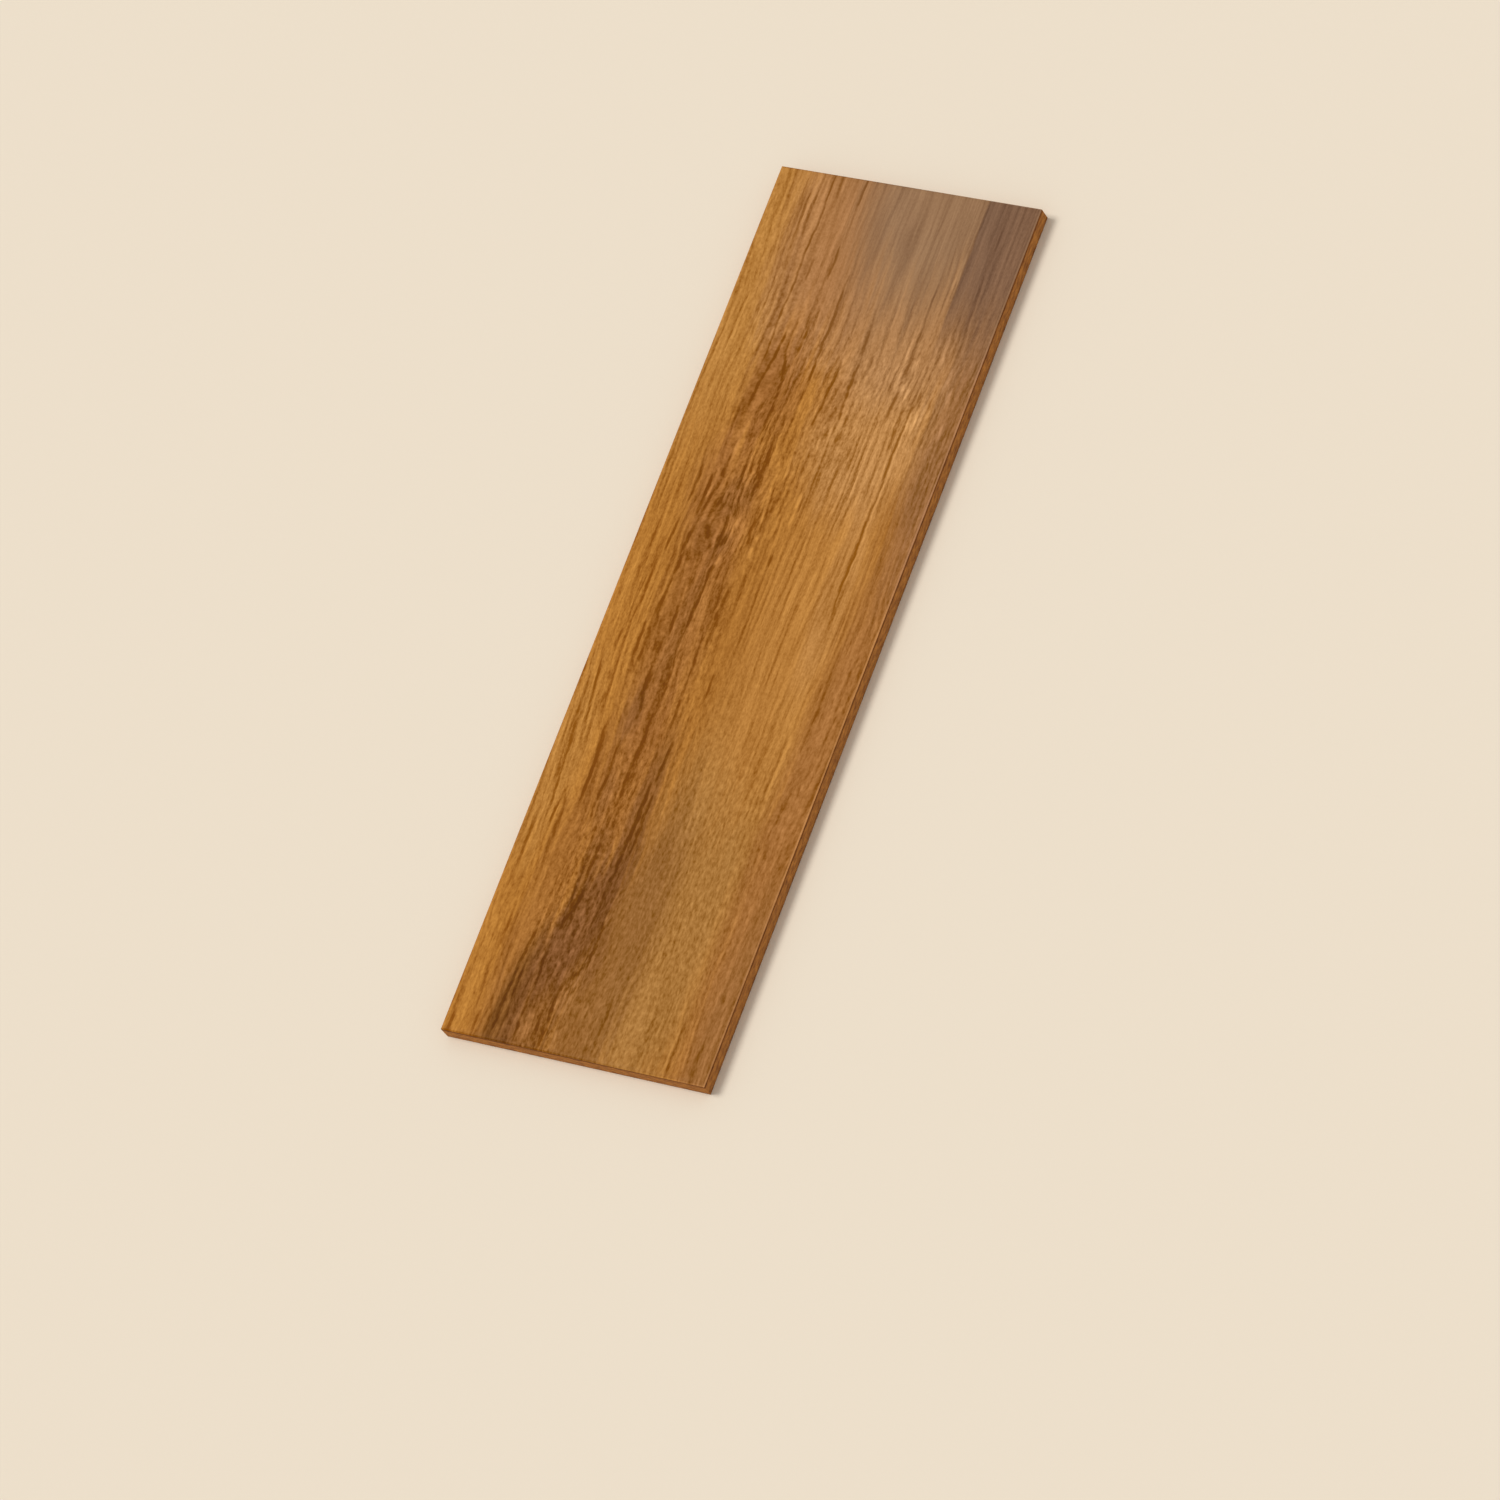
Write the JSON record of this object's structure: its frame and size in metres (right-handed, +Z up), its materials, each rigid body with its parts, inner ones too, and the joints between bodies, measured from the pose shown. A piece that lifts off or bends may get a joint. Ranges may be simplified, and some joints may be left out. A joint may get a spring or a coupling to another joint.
{
  "type": "laminate floor plank",
  "caption": "Flat rectangular floor plank with a warm walnut-look laminate face, plain square edges and a fine bevel round the face.",
  "frame": {"origin": "centre of the underside, which lies on the floor", "axes": "+Y along the plank's length and grain, +X across its width, +Z up out of the decor face"},
  "size_m": [0.188, 0.615, 0.012],
  "materials": {
    "laminate": "satin"
  },
  "bodies": {
    "root": {"laminate_plank": "laminate"}
  },
  "joints": []
}
